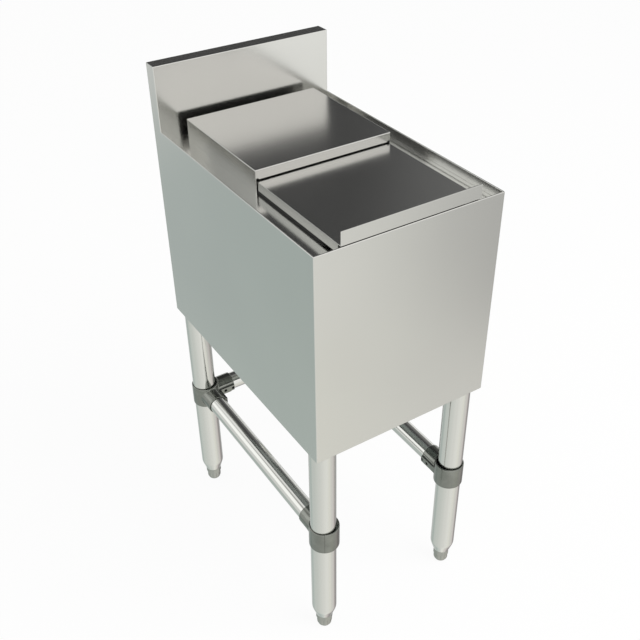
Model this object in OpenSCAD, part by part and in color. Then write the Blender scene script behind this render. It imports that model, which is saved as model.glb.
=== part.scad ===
/* [Body] */
// Width over the two side panels
body_w = 304.8; // [290:1:360]
// Depth over the front and back panels
body_d = 463.6; // [440:1:560]
// Height of the rim above the floor
rim_h = 757.5; // [700:1:900]
// Height of the front and side panels
apron_h = 343.7; // [335:1:420]
// Thickness of the outer sheet
sheet_t = 1.2; // [0.9:0.1:1.6]
// Depth of the folded hem along a free edge
hem_h = 10; // [6:1:12]

/* [Backsplash] */
// Rise of the splash above the rim
splash_rise = 102; // [60:1:160]
// Thickness of the splash from front to back
splash_t = 25.4; // [18:0.2:32]
// Height of the turned-down edge behind the splash
splash_lip_h = 30; // [15:1:50]

/* [Deck] */
// Depth of the sunken ledge below the rim
ledge_drop = 16.4; // [14:0.2:22]
// Width of the ledge at each side of the opening
ledge_side = 42.3; // [38:0.1:55]
// Width of the ledge in front of the opening
ledge_front = 38; // [30:1:60]
// Distance between the coaming's rear end and the splash
ledge_rear = 20.2; // [12:0.2:40]
// Height of the coaming's edge above the rim
coaming_over = 0.6; // [0.2:0.1:0.8]
// Outer corner radius of the coaming
coaming_r = 14; // [8:1:20]
// Width of the black strip round the coaming's foot
seal_w = 2; // [1:0.1:2]
// Clearance between that strip and the lid's skirts
seal_gap = 0.5; // [0.3:0.1:1]
// Height of the deck's turned-down welding flange
deck_flange_h = 14; // [8:1:20]

/* [Ice liner] */
// Depth from the rim to the lowest part of the floor
liner_depth = 250; // [200:1:255]
// Thickness of the liner's sheet
liner_t = 1; // [0.8:0.1:1.5]
// Width of the liner's welding lip under the deck
liner_lip = 12; // [8:1:20]
// Radius of the coves along the floor
cove_r = 25; // [18:1:32]
// Fall of the floor towards the drain
floor_fall = 8; // [4:1:12]
// Length of the level part of the floor round the drain
sump_l = 120; // [110:1:140]

/* [Lids] */
// Thickness of the sliding lid's sheet
lid_t = 1; // [0.8:0.1:1.5]
// Clearance between the coaming and the lid's side skirts
lid_side_gap = 0.8; // [0.5:0.1:1.5]
// Clearance between the coaming's edge and the lid
lid_seat_gap = 0.3; // [0.2:0.1:0.6]
// Distance from the body's front to the lid's front lip
lid_setback = 1.2; // [0.5:0.1:6]
// Height of the lid's side skirts below its top
lid_skirt_h = 13.6; // [8:0.1:14]
// Distance from the lip to the front end of the side skirts
lid_skirt_setback = 6; // [5:0.5:12]
// Height of the front lip above the lid's top
lip_h = 20; // [14:0.1:30]
// Depth of the hem folded along the front lip
lip_hem_h = 8; // [5:0.5:10]
// Height of the stop along the lid's rear edge
stop_h = 11; // [6:0.5:13]
// Clearance between the stop and the cover's fascia
stop_gap = 6; // [0.5:0.5:7]
// Thickness of the rear cover's sheet
cover_t = 1.2; // [0.9:0.1:1.6]
// Depth of the rear cover from front to back
cover_d = 213.6; // [200:1:230]
// Rise of the rear cover above the rim
cover_rise = 18.5; // [18:0.1:26]
// Clearance between the lid's skirts and the rear cover's skirts
cover_side_gap = 1.3; // [0.8:0.1:3]
// Clearance between the coaming and the rear cover's back skirt
cover_rear_gap = 2.9; // [1:0.1:6]
// Height of the rear cover's front fascia
fascia_h = 14.5; // [10:0.1:15.5]
// Radius of the relief notch at each end of the fascia
relief_r = 2.2; // [1:0.1:2.5]

/* [False bottom] */
// Thickness of the perforated plate
grid_t = 1.5; // [1:0.1:2.5]
// Clearance round the plate inside the liner
grid_gap = 3; // [2:0.5:6]
// Height of the plate's turned-down side legs
grid_leg_h = 18; // [12:1:30]
// Clearance between a side leg and the cove that it rests on
grid_seat_gap = 0.3; // [0.2:0.1:0.5]
// Diameter of a drain hole in the plate
grid_hole_d = 9.5; // [6:0.5:12]
// Distance between neighbouring holes
grid_pitch = 19; // [16:0.5:30]

/* [Drain] */
// Diameter of the drain's flange on the liner's floor
drain_flange_d = 76; // [70:1:90]
// Thickness of the drain's flange
drain_flange_t = 1.6; // [1:0.1:3]
// Outer diameter of the drain's cup
drain_cup_d = 54; // [48:1:58]
// Depth of the drain's cup below the liner's floor
drain_cup_h = 17; // [15:0.5:20]
// Wall of the drain's cup
drain_cup_wall = 2.4; // [2:0.1:3]
// Outer diameter of the threaded outlet
outlet_d = 33.4; // [26:0.1:38]
// Bore of the outlet
outlet_bore_d = 26; // [18:0.5:28]
// Length of the outlet below the bottom panel
outlet_drop = 42; // [30:1:55]
// Diameter of the neck between the cup and the outlet, whose end stops a sleeve
neck_d = 41; // [40:0.5:46]
// Length of the neck below the bottom panel
neck_drop = 2; // [1:0.5:4]
// Thickness of the gasket under the liner
gasket_t = 2.5; // [1.5:0.1:3]
// Thickness of the locknut
locknut_t = 8; // [6:0.5:10]
// Width of the locknut across its corners
locknut_d = 78; // [72:1:90]
// Thickness of the strainer disc
strainer_t = 1.2; // [0.8:0.1:2]
// Diameter of a hole in the strainer disc
strainer_hole_d = 4.5; // [3:0.5:6]

/* [Base] */
// Thickness of the foam under the liner's lowest part
foam_t = 23; // [22:1:40]
// Clearance between the foam and the pieces that it surrounds
foam_gap = 0.3; // [0.2:0.1:1]
// Height of the bottom panel's turned-up flange
base_flange_h = 12; // [8:1:18]
// Height of the two channels under the bottom panel
channel_h = 14; // [12:0.5:20]
// Thickness of the channels
channel_t = 2; // [1.5:0.1:3]

/* [Leg sockets] */
// Thickness of a socket's mounting plate
plate_t = 3; // [2:0.5:4]
// Width of a socket's mounting plate
plate_w = 80; // [76:1:95]
// Height of the socket below its plate
socket_h = 38; // [32:1:45]
// Wall of the socket
socket_wall = 2; // [1.6:0.1:2.2]
// Radial clearance of the leg in its socket
socket_fit = 0.05; // [0.02:0.01:0.1]
// Thickness of a socket's ribs
rib_t = 3; // [2:0.5:5]
// Diameter of the boss that holds a socket's set screw
screw_boss_d = 15; // [13:0.5:18]
// Length of that boss outside the socket
screw_boss_l = 4; // [3:0.5:8]
// Diameter of the socket bolts
bolt_d = 8; // [6:1:10]
// Distance from a plate's edges to its bolts
bolt_inset = 12; // [10:0.5:16]

/* [Legs] */
// Diameter of the leg tubes
leg_d = 41.3; // [38:0.1:42]
// Wall of the leg tubes
leg_wall = 1.5; // [1.2:0.1:2.5]
// Distance from the body's side to a leg's axis
leg_side = 25.4; // [25:0.1:32]
// Distance from the body's front to a front leg's axis
leg_front = 25.4; // [25:0.1:40]
// Height of the end of the straight tube above the floor
taper_top_h = 50.5; // [46:0.5:70]
// Diameter of a leg's narrow lower end
leg_end_d = 28.5; // [26:0.5:32]
// Height of the thread insert inside a leg
insert_h = 18; // [14:1:24]

/* [Feet] */
// Height of a foot below its leg
foot_h = 29.7; // [27:0.1:36]
// Width of a foot's eight-sided upper band across its corners
foot_d = 28.8; // [28:0.2:31]
// Height of that band
foot_band_h = 10.5; // [8:0.5:13]
// Diameter of a foot's barrel under the band
foot_barrel_d = 25.4; // [22:0.2:25.6]
// Diameter of a foot where it stands on the floor
foot_tip_d = 6; // [4:0.5:12]
// Diameter of the threaded stem
stem_d = 12.7; // [10:0.1:14]
// Length of the stem above the foot
stem_l = 66; // [60:1:80]
// Radial clearance of the stem in its thread insert
stem_fit = 0.05; // [0.02:0.01:0.1]
// Clearance between a foot and its leg when screwed home
foot_gap = 0.3; // [0.2:0.1:0.5]
// Number of flutes round a foot's barrel
flute_count = 8; // [6:1:10]
// Diameter of a flute
flute_d = 6; // [4:0.5:8]

/* [Braces] */
// Height of the clamps' centres above the floor
clamp_h = 227; // [180:0.5:260]
// Outer diameter of a clamp's ring
ring_d = 48.8; // [48:0.1:52]
// Bore of a clamp's ring
ring_bore_d = 44.9; // [44.6:0.1:46]
// Height of a clamp's ring
ring_h = 41.5; // [40:0.5:48]
// Sideways play of a ring on its leg, taken up towards the middle
ring_shift = 1.6; // [1:0.1:1.7]
// Diameter of a clamp's arms
arm_d = 36; // [36:0.5:40]
// Distance of the side rails' axes from the legs' axes, towards the middle
arm_shift = 2.6; // [0:0.1:3]
// Length of the arms for the side rails, from the leg's axis
arm_l = 49.5; // [45:0.5:70]
// Length of the arms for the rear rail, from the leg's axis
cross_arm_l = 54; // [48:0.5:60]
// Diameter of the rails
rail_d = 31.75; // [28:0.05:33]
// Wall of the rails
rail_wall = 1.5; // [1.2:0.1:2.5]
// Radial clearance of a rail in its arm
rail_gap = 0.4; // [0.2:0.1:0.6]
// Distance from the leg's axis to a rail's end
rail_start = 28; // [26:0.5:32]
// Chamfer along the castings' edges
cast_edge = 0.8; // [0.4:0.1:1.2]
// Width of the flat strips that hold the set screws
strip_w = 12; // [9:0.5:15]
// Rise of a strip above its arm
strip_rise = 3; // [1.5:0.1:3.5]
// Diameter of the clamps' set screws
screw_d = 6; // [5:0.5:7]
// Rise of the upper set screws above their strip
screw_proud = 1.6; // [0.6:0.1:3]

/* [Hidden] */

$fn = 64;
// Overrun of every cut past the face that it opens
over = 1;
// Steps in each quarter of a rounded outline
arc_steps = 8;
// Corner count of a nut, a bolt head and a hexagon socket
hex_sides = 6;
// Corner count of the drain's locknut and of a foot's band
octagon_sides = 8;

// Faces of the body
side_x = body_w / 2;
front_y = -body_d / 2;
back_y = body_d / 2;
apron_z = rim_h - apron_h;
splash_top_z = rim_h + splash_rise;
splash_y = back_y - splash_t;

// Inner faces of the single sheet and of the hems
inner_x = side_x - sheet_t;
inner_front_y = front_y + sheet_t;
inner_back_y = back_y - sheet_t;
hem_x = inner_x - sheet_t;
hem_front_y = inner_front_y + sheet_t;

// Coaming along the front and sides of the opening
deck_z = rim_h - ledge_drop;
coaming_x = side_x - ledge_side;
coaming_front_y = front_y + ledge_front;
coaming_rear_y = splash_y - ledge_rear;
coaming_z = rim_h + coaming_over;

// Inside of the liner, flush with the inside of the coaming and with the splash
well_x = coaming_x - sheet_t;
well_front_y = coaming_front_y + sheet_t;
well_rear_y = splash_y;
well_r = coaming_r - sheet_t;
well_z = rim_h - liner_depth;
well_top_z = deck_z - sheet_t;
sump_y = well_rear_y - sump_l;
drain_y = well_rear_y - sump_l / 2;

// Stack under the liner
base_z = well_z - liner_t - foam_t;
base_under_z = base_z - sheet_t;
channel_z = base_under_z - channel_h;
plate_z = channel_z - plate_t;
socket_z = plate_z - socket_h;

// Legs, with the rear clamps flush with the back
leg_r = leg_d / 2;
leg_x = side_x - leg_side;
front_leg_y = front_y + leg_front;
rear_leg_y = back_y - ring_d / 2;
leg_end_z = foot_h + foot_gap;
socket_r = leg_r + socket_fit + socket_wall;
channel_x = leg_x + socket_r;
// Sideways and lengthways sign of each leg: left is -1 and front is -1
CORNERS = [[-1, -1], [1, -1], [-1, 1], [1, 1]];

// Lids
lid_z = coaming_z + lid_seat_gap;
lid_top_z = lid_z + lid_t;
lid_inner_x = coaming_x + lid_side_gap;
lid_x = lid_inner_x + lid_t;
lid_front_y = front_y + lid_setback;
cover_inner_x = lid_x + cover_side_gap;
cover_x = cover_inner_x + cover_t;
cover_inner_back_y = coaming_rear_y + cover_rear_gap;
cover_back_y = cover_inner_back_y + cover_t;
cover_front_y = cover_back_y - cover_d;
cover_z = rim_h + cover_rise;
stop_y = cover_front_y + cover_t + stop_gap;
lid_back_y = stop_y + lid_t;

// Height of a bolt head and of a nut as shares of the bolt's diameter
head_h_share = 0.65;
// Width across the corners of a hexagon as a share of the bolt's diameter
hex_d_share = 1.9;
// Depth and width of a set screw's hexagon socket as shares of its diameter
hex_pit_share = 0.5;
// Clearance of a bolt in its hole as a share of the bolt's diameter
bolt_hole_share = 0.06;
// Reach of a socket's ribs across its plate and down its tube, as shares of the room there
rib_reach_share = 0.92;
rib_drop_share = 0.7;
// Places of the two set screws along a strip, as shares of the strip
screw_shares = [0.2, 0.82];
// Depth of a flute in the foot as a share of its diameter
flute_depth_share = 0.22;
// Width of the strip between the strainer's two rings of holes as shares of its radius
strainer_ring_shares = [0.38, 0.72];
strainer_ring_counts = [6, 12];

function arc(x, y, r, from) =
    [for (i = [0 : arc_steps]) let (a = from + 90 * i / arc_steps) [x + r * cos(a), y + r * sin(a)]];

// Outline of a rectangle with four round corners
function round_outline(x, y0, y1, r) = concat(
    arc(-x + r, y0 + r, r, 180), arc(x - r, y0 + r, r, 270),
    arc(x - r, y1 - r, r, 0), arc(-x + r, y1 - r, r, 90));

// Outline of an opening with two round front corners and square rear ones
function u_outline(x, y0, y1, r) =
    concat(arc(-x + r, y0 + r, r, 180), arc(x - r, y0 + r, r, 270), [[x, y1], [-x, y1]]);

// Block between two corners
module block(low, high) {
    translate(low) cube(high - low);
}

// Extrudes an outline drawn in X and Z over a length in Y
module along_y(y0, y1) {
    translate([0, y1, 0]) rotate([90, 0, 0]) linear_extrude(y1 - y0) children();
}

// Extrudes an outline drawn in Y and Z over a length in X
module along_x(x0, x1) {
    translate([x0, 0, 0]) rotate([90, 0, 90]) linear_extrude(x1 - x0) children();
}

// Sheet panels of the body

module front_panel() color([0.79, 0.79, 0.76]) {
    block([-side_x, front_y, apron_z], [side_x, inner_front_y, rim_h]);
    for (z = [apron_z, rim_h - hem_h])
        block([-inner_x, inner_front_y, z], [inner_x, hem_front_y, z + hem_h]);
}

module side_panel(side) color([0.64, 0.67, 0.65]) {
    along_x(side < 0 ? -side_x : inner_x, side < 0 ? -inner_x : side_x)
        polygon([
            [inner_front_y, apron_z], [back_y, apron_z], [back_y, splash_top_z],
            [splash_y, splash_top_z], [splash_y, rim_h], [inner_front_y, rim_h]
        ]);
    for (z = [apron_z, rim_h - hem_h])
        along_x(side < 0 ? -inner_x : hem_x, side < 0 ? -hem_x : inner_x)
            polygon([
                [hem_front_y, z], [splash_y, z], [splash_y, z + hem_h], [hem_front_y, z + hem_h]
            ]);
}

module back_panel() color([0.64, 0.67, 0.65])
    block([-inner_x, inner_back_y, channel_z], [inner_x, back_y, splash_top_z - splash_lip_h]);

// One bent sheet: front face, top and turned-down rear edge
module backsplash() color([0.74, 0.74, 0.71])
    along_x(-inner_x, inner_x)
        polygon([
            [splash_y, deck_z], [splash_y, splash_top_z], [back_y, splash_top_z],
            [back_y, splash_top_z - splash_lip_h], [inner_back_y, splash_top_z - splash_lip_h],
            [inner_back_y, splash_top_z - sheet_t], [splash_y + sheet_t, splash_top_z - sheet_t],
            [splash_y + sheet_t, deck_z]
        ]);

// Sunken ledge with an upturned coaming along three sides of the opening, which runs back to the
// splash, and a flange along the panels
module deck_frame() color([0.7, 0.7, 0.67])
    difference() {
        union() {
            block([-inner_x, inner_front_y, deck_z - sheet_t], [inner_x, inner_back_y, deck_z]);
            difference() {
                block([-inner_x, inner_front_y, deck_z - deck_flange_h], [inner_x, inner_back_y, deck_z]);
                block([-hem_x, hem_front_y, deck_z - deck_flange_h - over],
                    [hem_x, inner_back_y - sheet_t, deck_z - sheet_t]);
            }
            translate([0, 0, deck_z]) linear_extrude(coaming_z - deck_z)
                polygon(u_outline(coaming_x, coaming_front_y, coaming_rear_y, coaming_r));
        }
        translate([0, 0, deck_z - sheet_t - over]) linear_extrude(coaming_z - deck_z + sheet_t + 2 * over)
            polygon(u_outline(well_x, well_front_y, well_rear_y, well_r));
    }

// Rubber strip round the coaming's foot, which fills most of the height under the lid's skirts
module coaming_seal() color([0.1, 0.1, 0.1])
    translate([0, 0, deck_z]) linear_extrude(lid_top_z - lid_skirt_h - seal_gap - deck_z) difference() {
        polygon(u_outline(coaming_x + seal_w, coaming_front_y - seal_w, coaming_rear_y, coaming_r + seal_w));
        polygon(u_outline(coaming_x, coaming_front_y, coaming_rear_y + over, coaming_r));
    }

// Coved tub with a floor that falls to the sump; grow adds the sheet on every side
module well_form(grow, top_z) {
    x = well_x + grow;
    y0 = well_front_y - grow;
    y1 = well_rear_y + grow;
    z = well_z - grow;
    r = cove_r + grow;
    intersection() {
        translate([0, 0, z]) linear_extrude(top_z - z) polygon(round_outline(x, y0, y1, well_r + grow));
        along_y(y0, y1)
            polygon(concat([[-x, top_z]], arc(-x + r, z + r, r, 180), arc(x - r, z + r, r, 270), [[x, top_z]]));
        along_x(-x, x)
            polygon(concat(
                [[y0, top_z]], arc(y0 + r, z + floor_fall + r, r, 180), [[sump_y, z]],
                arc(y1 - r, z + r, r, 270), [[y1, top_z]]));
    }
}

module ice_liner() color([0.7, 0.7, 0.68])
    difference() {
        union() {
            well_form(liner_t, well_top_z);
            translate([0, 0, well_top_z - liner_t]) linear_extrude(liner_t)
                polygon(round_outline(well_x + liner_lip, well_front_y - liner_lip,
                    well_rear_y + liner_lip, well_r + liner_lip));
        }
        well_form(0, well_top_z + over);
        translate([0, drain_y, well_z - liner_t - over]) cylinder(h = liner_t + 2 * over, d = drain_cup_d);
    }

// Foam between the liner, the panels and the bottom panel
module foam_insulation() color([0.9, 0.86, 0.7])
    difference() {
        block([-hem_x + foam_gap, hem_front_y + foam_gap, base_z],
            [hem_x - foam_gap, inner_back_y - sheet_t - foam_gap, well_top_z - liner_t]);
        well_form(liner_t + foam_gap, well_top_z);
        translate([0, drain_y, base_z - over])
            cylinder(h = well_z - base_z, d = locknut_d + 2 * foam_gap);
    }

module bottom_panel() color([0.68, 0.69, 0.68])
    difference() {
        block([-inner_x, inner_front_y, base_under_z], [inner_x, inner_back_y, base_z + base_flange_h]);
        block([-hem_x, hem_front_y, base_z], [hem_x, inner_back_y - sheet_t, base_z + base_flange_h + over]);
        translate([0, drain_y, base_under_z - over])
            cylinder(h = sheet_t + 2 * over, d = neck_d + 2 * foam_gap);
    }

// Base that carries the legs

// Places the children at one leg, turned so that +X and +Y point to the body's middle
module at_leg(corner) {
    y = corner[1] < 0 ? front_leg_y : rear_leg_y;
    translate([corner[0] * leg_x, y, 0])
        mirror([corner[0] > 0 ? 1 : 0, 0, 0]) mirror([0, corner[1] > 0 ? 1 : 0, 0]) children();
}

// Places the children at the three bolts of one leg's plate
module at_bolts() {
    near = bolt_inset - socket_r;
    far = plate_w - bolt_inset - socket_r;
    for (p = [[near, far], [far, near], [far, far]]) translate([p[0], p[1], 0]) children();
}

module leg_channel(side) color([0.6, 0.62, 0.61]) {
    x0 = side < 0 ? -channel_x : channel_x - plate_w;
    x1 = x0 + plate_w;
    y0 = front_leg_y - socket_r;
    y1 = rear_leg_y + socket_r;
    difference() {
        block([x0, y0, channel_z], [x1, y1, base_under_z]);
        block([x0 + channel_t, y0 - over, channel_z + channel_t], [x1 - channel_t, y1 + over, base_under_z + over]);
        for (end = [-1, 1]) at_leg([side, end]) at_bolts()
            translate([0, 0, channel_z - over])
                cylinder(h = channel_t + 2 * over, d = bolt_d * (1 + bolt_hole_share));
    }
}

// Flanged socket with ribs to both inner edges of its plate and a boss for the set screw
module leg_socket(corner) color([0.55, 0.57, 0.56])
    at_leg(corner) difference() {
        union() {
            block([-socket_r, -socket_r, plate_z], [plate_w - socket_r, plate_w - socket_r, channel_z]);
            translate([0, 0, socket_z]) cylinder(h = plate_z - socket_z, r = socket_r);
            for (turn = [0, 90]) rotate([0, 0, turn]) socket_rib();
            set_screw_boss();
        }
        translate([0, 0, socket_z - over]) cylinder(h = plate_z - socket_z + over, r = leg_r + socket_fit);
        at_bolts() translate([0, 0, plate_z - over])
            cylinder(h = plate_t + 2 * over, d = bolt_d * (1 + bolt_hole_share));
        at_set_screw() cylinder(h = socket_r + screw_boss_l, d = bolt_d);
    }

// Triangular rib in the plane through the socket's axis
module socket_rib() {
    reach = (plate_w - socket_r) * rib_reach_share;
    along_y(-rib_t / 2, rib_t / 2)
        polygon([
            [leg_r + socket_fit + socket_wall / 2, plate_z], [reach, plate_z],
            [socket_r, plate_z - socket_h * rib_drop_share],
            [leg_r + socket_fit + socket_wall / 2, plate_z - socket_h * rib_drop_share]
        ]);
}

// Turns +Z to the diagonal between the two ribs, at the height of the set screw
module at_set_screw() {
    translate([0, 0, socket_z + screw_boss_d / 2 + rib_t]) rotate([0, 90, 45]) children();
}

module set_screw_boss() {
    at_set_screw() translate([0, 0, leg_r + socket_fit + socket_wall / 2])
        cylinder(h = socket_wall / 2 + screw_boss_l, d = screw_boss_d);
}

// Screw with a hexagon socket in its outer end, from start to end along +Z
module set_screw(d, start, end) {
    difference() {
        translate([0, 0, start]) cylinder(h = end - start, d = d);
        translate([0, 0, end - d * hex_pit_share])
            cylinder(h = d * hex_pit_share + over, d = d * hex_pit_share, $fn = hex_sides);
    }
}

module leg_set_screws() color([0.25, 0.25, 0.26])
    for (corner = CORNERS) at_leg(corner) at_set_screw()
        set_screw(bolt_d, leg_r, socket_r + screw_boss_l);

module socket_bolts() color([0.7, 0.7, 0.7])
    for (corner = CORNERS) at_leg(corner) at_bolts() {
        translate([0, 0, plate_z]) cylinder(h = plate_t + channel_t + bolt_d, d = bolt_d);
        translate([0, 0, plate_z - bolt_d * head_h_share])
            cylinder(h = bolt_d * head_h_share, d = bolt_d * hex_d_share, $fn = hex_sides);
    }

module socket_nuts() color([0.7, 0.7, 0.7])
    for (corner = CORNERS) at_leg(corner) at_bolts()
        translate([0, 0, channel_z + channel_t]) difference() {
            cylinder(h = bolt_d * head_h_share, d = bolt_d * hex_d_share, $fn = hex_sides);
            translate([0, 0, -over]) cylinder(h = bolt_d + 2 * over, d = bolt_d);
        }

// Legs and feet

// Straight tube that narrows to its lower end
module leg(corner) color([0.77, 0.78, 0.75])
    at_leg(corner) rotate_extrude()
        polygon([
            [leg_r, plate_z], [leg_r, taper_top_h], [leg_end_d / 2, leg_end_z],
            [leg_end_d / 2 - leg_wall, leg_end_z], [leg_r - leg_wall, taper_top_h],
            [leg_r - leg_wall, plate_z]
        ]);

module foot_inserts() color([0.5, 0.5, 0.5])
    for (corner = CORNERS) at_leg(corner) translate([0, 0, taper_top_h]) difference() {
        cylinder(h = insert_h, r = leg_r - leg_wall);
        translate([0, 0, -over]) cylinder(h = insert_h + 2 * over, r = stem_d / 2 + stem_fit);
    }

// Round-nosed bullet on a threaded stem, with an eight-sided band for the wrench and flutes below
module foot(corner) color([0.59, 0.59, 0.57])
    at_leg(corner) {
        nose_r = (foot_barrel_d - foot_tip_d) / 2;
        band_z = foot_h - foot_band_h;
        difference() {
            rotate_extrude()
                polygon(concat(
                    [[0, 0]], arc(foot_tip_d / 2, nose_r, nose_r, 270),
                    [[foot_barrel_d / 2, band_z], [0, band_z]]));
            for (i = [0 : flute_count - 1]) rotate([0, 0, 360 * i / flute_count])
                translate([foot_barrel_d / 2 + flute_d * (1 / 2 - flute_depth_share), 0, nose_r])
                    cylinder(h = band_z, d = flute_d);
        }
        translate([0, 0, band_z]) cylinder(h = foot_band_h, d = foot_d, $fn = octagon_sides);
        translate([0, 0, foot_h]) cylinder(h = stem_l, d = stem_d);
    }

// Braces

// Turns +Z to an arm: lengthways arms run to the body's middle in Y, cross arms in X
module at_arm(cross) {
    translate([cross ? 0 : arm_shift, 0, clamp_h]) rotate(cross ? [0, 90, 0] : [-90, 0, 0]) children();
}

// Turns +X to the upper or the lower strip of an arm, both on one slanted line. The upper strips
// face the body's right side on the lengthways arms and its back on the cross arms
module at_strip(corner, cross, lower) {
    turn = cross || corner[0] > 0 ? 225 : -45;
    at_arm(cross) rotate([0, 0, turn + (lower ? 180 : 0)]) children();
}

// Places the children at the two set screws of a strip, with +Z pointing out of the arm
module at_strip_screws(corner, cross, lower) {
    length = (cross ? cross_arm_l : arm_l) - rail_start;
    for (share = screw_shares) at_strip(corner, cross, lower)
        translate([0, 0, rail_start + length * share]) rotate([0, 90, 0]) children();
}

// Round arm that swells to the ring's height at its root, with its two flat strips
module clamp_arm(corner, cross) {
    length = cross ? cross_arm_l : arm_l;
    at_arm(cross) rotate_extrude()
        polygon([
            [0, 0], [ring_h / 2 - cast_edge, 0], [arm_d / 2, rail_start], [arm_d / 2, length - cast_edge],
            [arm_d / 2 - cast_edge, length], [0, length]
        ]);
    for (lower = [false, true]) at_strip(corner, cross, lower)
        block([0, -strip_w / 2, 0], [arm_d / 2 + strip_rise, strip_w / 2, length - 2 * cast_edge]);
}

// Ring with chamfered edges, before it is bored
module clamp_ring() {
    r = ring_d / 2;
    rotate_extrude()
        polygon([
            [0, 0], [r - cast_edge, 0], [r, cast_edge], [r, ring_h - cast_edge],
            [r - cast_edge, ring_h], [0, ring_h]
        ]);
}

// Cast clamp: a ring round the leg and one arm for each rail that ends there
module brace_clamp(corner) color([0.44, 0.46, 0.44])
    at_leg(corner) {
        crosses = corner[1] > 0 ? [false, true] : [false];
        difference() {
            union() {
                translate([ring_shift, 0, clamp_h - ring_h / 2]) clamp_ring();
                for (cross = crosses) clamp_arm(corner, cross);
            }
            translate([ring_shift, 0, clamp_h - ring_h / 2 - over])
                cylinder(h = ring_h + 2 * over, d = ring_bore_d);
            for (cross = crosses) {
                at_arm(cross) translate([0, 0, rail_start - rail_gap])
                    cylinder(h = arm_l, d = rail_d + 2 * rail_gap);
                for (lower = [false, true]) at_strip_screws(corner, cross, lower)
                    cylinder(h = arm_d, d = screw_d);
            }
        }
    }

module clamp_set_screws() color([0.12, 0.12, 0.12])
    for (corner = CORNERS) at_leg(corner)
        for (cross = corner[1] > 0 ? [false, true] : [false], lower = [false, true])
            at_strip_screws(corner, cross, lower)
                set_screw(screw_d, rail_d / 2, arm_d / 2 + strip_rise + (lower ? 0 : screw_proud));

// Open tube along +Z
module tube(length, d, wall) {
    difference() {
        cylinder(h = length, d = d);
        translate([0, 0, -over]) cylinder(h = length + 2 * over, d = d - 2 * wall);
    }
}

module side_rail(side) color([0.77, 0.78, 0.75])
    translate([side * (leg_x - arm_shift), front_leg_y + rail_start, clamp_h]) rotate([-90, 0, 0])
        tube(rear_leg_y - front_leg_y - 2 * rail_start, rail_d, rail_wall);

module rear_rail() color([0.77, 0.78, 0.75])
    translate([-leg_x + rail_start, rear_leg_y, clamp_h]) rotate([0, 90, 0])
        tube(2 * (leg_x - rail_start), rail_d, rail_wall);

// Drain

// Flange, cup and threaded outlet
module drain_body() color([0.72, 0.72, 0.7])
    translate([0, drain_y, 0]) rotate_extrude()
        polygon([
            [drain_flange_d / 2, well_z], [drain_flange_d / 2, well_z + drain_flange_t],
            [drain_cup_d / 2 - drain_cup_wall, well_z + drain_flange_t],
            [drain_cup_d / 2 - drain_cup_wall, well_z - drain_cup_h + drain_cup_wall],
            [outlet_bore_d / 2, well_z - drain_cup_h + drain_cup_wall],
            [outlet_bore_d / 2, base_under_z - outlet_drop],
            [outlet_d / 2, base_under_z - outlet_drop],
            [outlet_d / 2, base_under_z - neck_drop], [neck_d / 2, base_under_z - neck_drop],
            [neck_d / 2, well_z - drain_cup_h], [drain_cup_d / 2, well_z - drain_cup_h],
            [drain_cup_d / 2, well_z]
        ]);

module drain_gasket() color([0.12, 0.12, 0.12])
    translate([0, drain_y, well_z - liner_t - gasket_t]) difference() {
        cylinder(h = gasket_t, d = drain_flange_d - 2 * gasket_t);
        translate([0, 0, -over]) cylinder(h = gasket_t + 2 * over, d = drain_cup_d);
    }

module drain_locknut() color([0.75, 0.68, 0.5])
    translate([0, drain_y, well_z - liner_t - gasket_t - locknut_t]) difference() {
        cylinder(h = locknut_t, d = locknut_d, $fn = octagon_sides);
        translate([0, 0, -over]) cylinder(h = locknut_t + 2 * over, d = drain_cup_d);
    }

// Dished disc that rests on the step of the cup
module drain_strainer() color([0.75, 0.75, 0.73]) {
    r = drain_cup_d / 2 - drain_cup_wall;
    translate([0, drain_y, 0]) difference() {
        translate([0, 0, well_z + drain_flange_t - strainer_t]) cylinder(h = strainer_t, r = r);
        for (ring = [0, 1]) for (i = [0 : strainer_ring_counts[ring] - 1])
            rotate([0, 0, 360 * i / strainer_ring_counts[ring]])
                translate([r * strainer_ring_shares[ring], 0, well_z])
                    cylinder(h = drain_flange_t + over, d = strainer_hole_d);
    }
}

// Lids and the false bottom

// Perforated plate on two turned-down legs that stand in the liner's side coves
module false_bottom() color([0.72, 0.72, 0.7]) {
    x = well_x - grid_gap;
    y0 = well_front_y + grid_gap;
    y1 = well_rear_y - grid_gap;
    // Height of the cove's surface under a side leg
    cove_z = well_z + cove_r - sqrt(pow(cove_r, 2) - pow(cove_r - grid_gap, 2));
    leg_z = max(cove_z, well_z + floor_fall) + grid_seat_gap;
    top_z = leg_z + grid_leg_h;
    leg_y0 = y0 + cove_r;
    leg_y1 = y1 - cove_r;
    nx = floor((2 * x - 2 * grid_pitch) / grid_pitch);
    ny = floor((y1 - y0 - 2 * grid_pitch) / grid_pitch);
    translate([0, 0, top_z - grid_t]) linear_extrude(grid_t) difference() {
        polygon(round_outline(x, y0, y1, well_r));
        for (i = [0 : nx], j = [0 : ny])
            translate([(i - nx / 2) * grid_pitch, (y0 + y1) / 2 + (j - ny / 2) * grid_pitch])
                circle(d = grid_hole_d, $fn = 16);
    }
    for (x0 = [-x, x - grid_t])
        block([x0, leg_y0, leg_z], [x0 + grid_t, leg_y1, top_z - grid_t]);
}

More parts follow.
